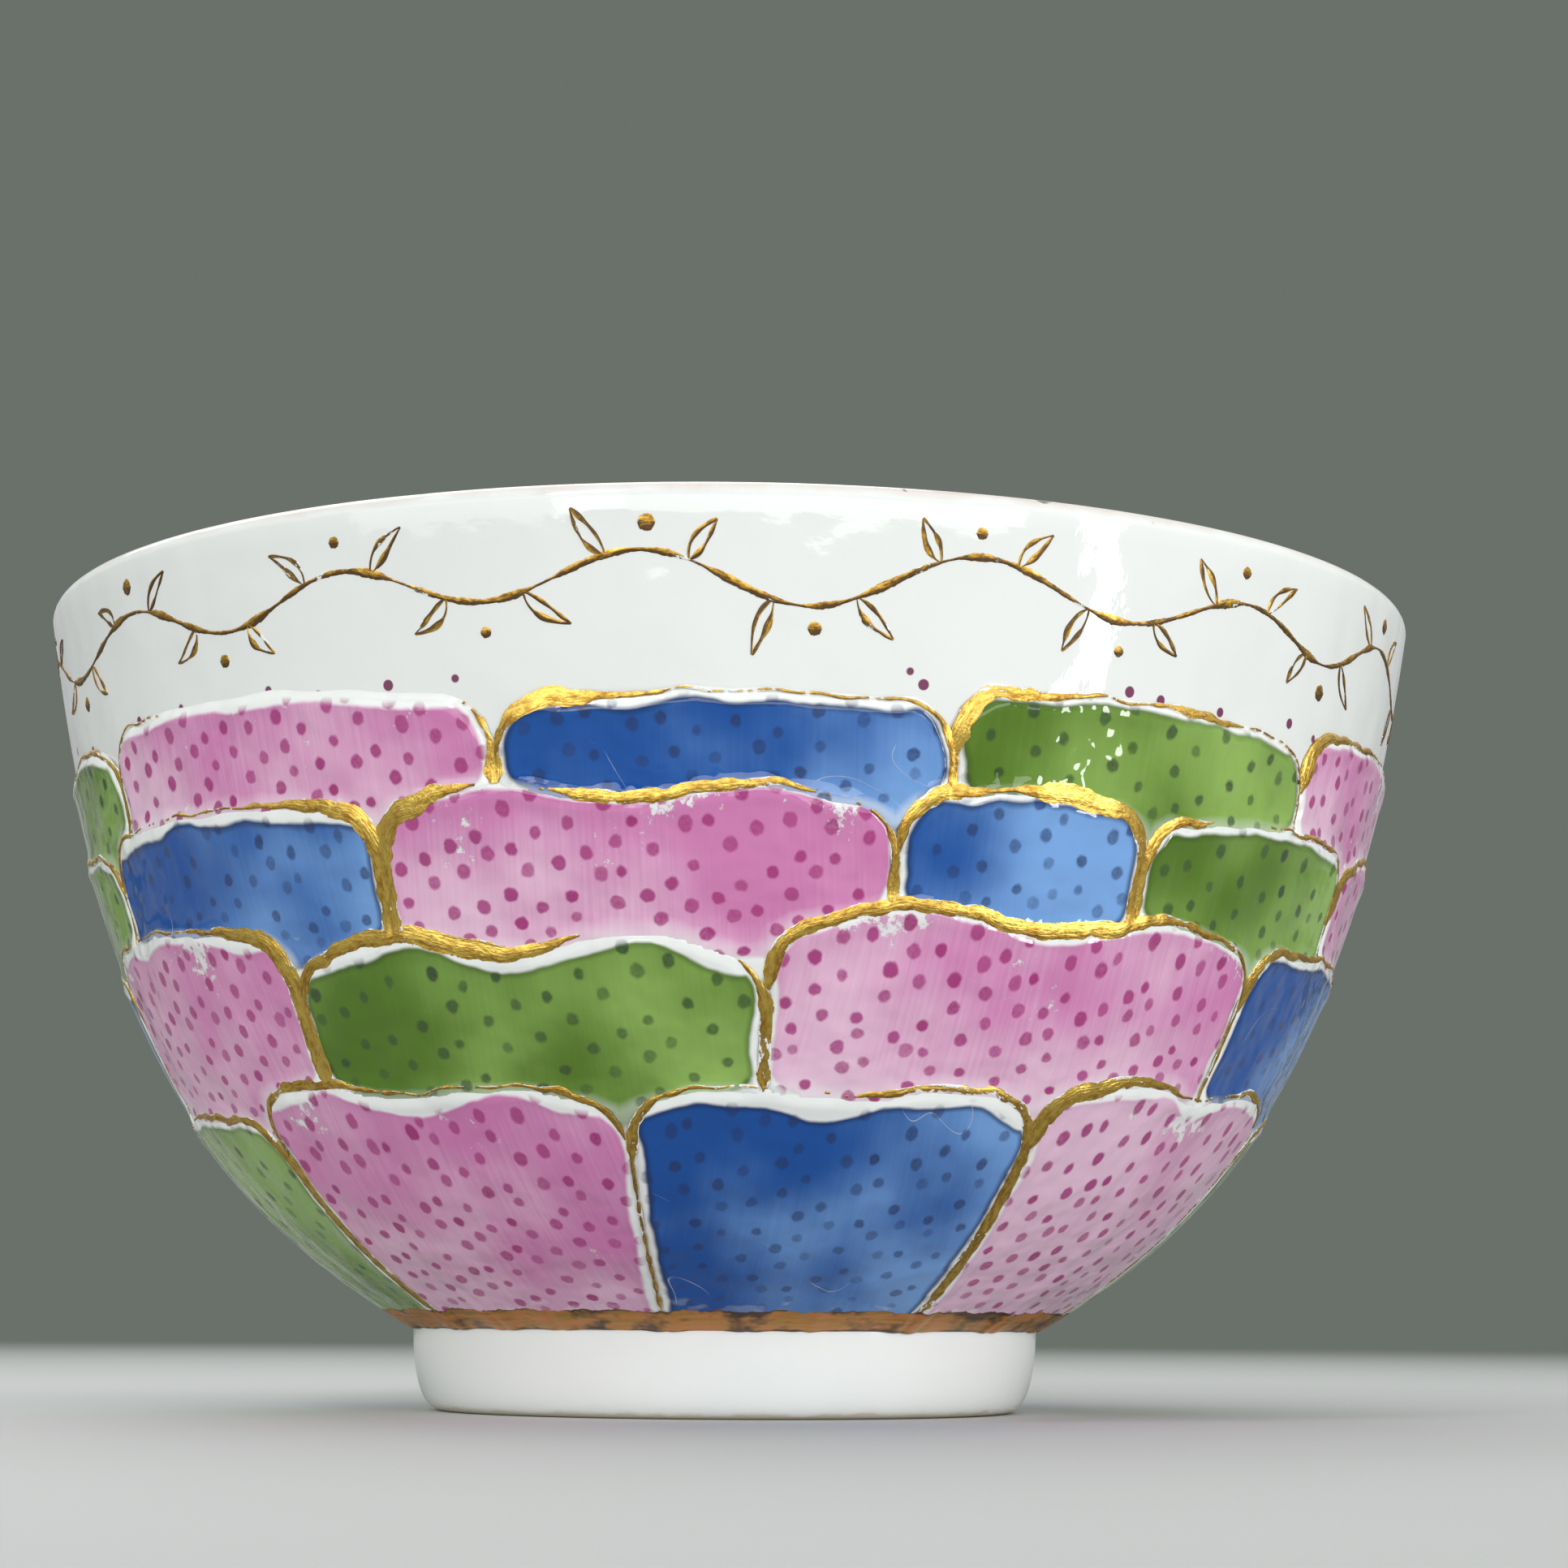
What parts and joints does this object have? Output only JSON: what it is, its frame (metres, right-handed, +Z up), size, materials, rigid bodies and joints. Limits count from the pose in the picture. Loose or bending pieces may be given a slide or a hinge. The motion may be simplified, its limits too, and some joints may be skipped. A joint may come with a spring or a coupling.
{
  "type": "tea bowl",
  "caption": "Small footed porcelain tea bowl with a flared round wall, lapped enamelled relief scales, gilt outlines and a plain white rim.",
  "frame": {"origin": "on the bowl's axis at the underside of the foot, where it stands on the table", "axes": "+Z up along the bowl's axis, -Y towards the front, +X to the right seen from the front"},
  "size_m": [0.076, 0.076, 0.0434],
  "materials": {
    "glazed_porcelain": "gloss white glaze",
    "foot_porcelain": "gloss white glaze, worn where it stands",
    "enamel_pink": "gloss pink enamel with purple dots",
    "enamel_blue": "gloss blue enamel with dark dots",
    "enamel_green": "gloss green enamel with dark dots",
    "gilding": "worn fired gold"
  },
  "bodies": {
    "root": {"bowl_wall": "glazed_porcelain", "foot_ring": "foot_porcelain", "top_scale_1": "enamel_pink", "top_scale_2": "enamel_blue", "top_scale_3": "enamel_green", "top_scale_4": "enamel_pink", "top_scale_5": "enamel_blue", "top_scale_6": "enamel_green", "top_scale_7": "enamel_pink", "top_scale_8": "enamel_blue", "top_scale_9": "enamel_pink", "top_scale_10": "enamel_green", "upper_scale_1": "enamel_blue", "upper_scale_2": "enamel_pink", "upper_scale_3": "enamel_blue", "upper_scale_4": "enamel_green", "upper_scale_5": "enamel_pink", "upper_scale_6": "enamel_blue", "upper_scale_7": "enamel_green", "upper_scale_8": "enamel_pink", "upper_scale_9": "enamel_blue", "upper_scale_10": "enamel_green", "lower_scale_1": "enamel_pink", "lower_scale_2": "enamel_green", "lower_scale_3": "enamel_pink", "lower_scale_4": "enamel_blue", "lower_scale_5": "enamel_green", "lower_scale_6": "enamel_pink", "lower_scale_7": "enamel_blue", "lower_scale_8": "enamel_green", "lower_scale_9": "enamel_blue", "base_petal_1": "enamel_pink", "base_petal_2": "enamel_blue", "base_petal_3": "enamel_pink", "base_petal_4": "enamel_green", "base_petal_5": "enamel_blue", "base_petal_6": "enamel_pink", "base_petal_7": "enamel_green", "base_petal_8": "enamel_blue", "base_petal_9": "enamel_green", "gilding_top": "gilding", "gilding_upper": "gilding", "gilding_lower": "gilding", "gilding_base": "gilding", "gilding_foot_line": "gilding", "gilding_rim_vine": "gilding"}
  },
  "joints": []
}
